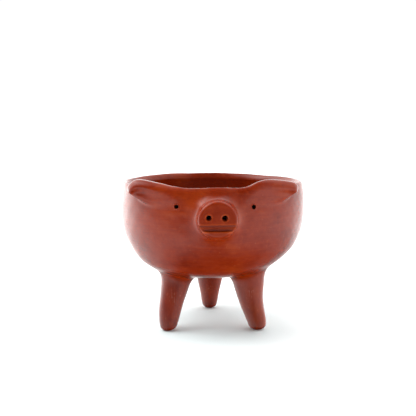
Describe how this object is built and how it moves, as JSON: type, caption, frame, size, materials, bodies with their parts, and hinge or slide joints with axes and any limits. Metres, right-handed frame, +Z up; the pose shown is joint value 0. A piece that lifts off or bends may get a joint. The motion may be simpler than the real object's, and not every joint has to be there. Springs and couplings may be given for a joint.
{
  "type": "molcajete",
  "caption": "Deep round clay grinding bowl in the form of a pig, with a disc snout, flap ears, a curled tail and tapered legs it stands on.",
  "frame": {"origin": "on the floor plane the feet stand on, under the centre of the overall box", "axes": "+Z up, the snout points along -Y, the tail along +Y, the pig's ears along X"},
  "size_m": [0.15, 0.1683, 0.1256],
  "materials": {
    "clay": "burnished unglazed red earthenware, satin sheen with fine polishing strokes"
  },
  "bodies": {
    "root": {"bowl": "clay", "snout": "clay", "ear_left": "clay", "ear_right": "clay", "leg_front_left": "clay", "leg_front_right": "clay", "leg_rear": "clay", "tail": "clay"}
  },
  "joints": []
}
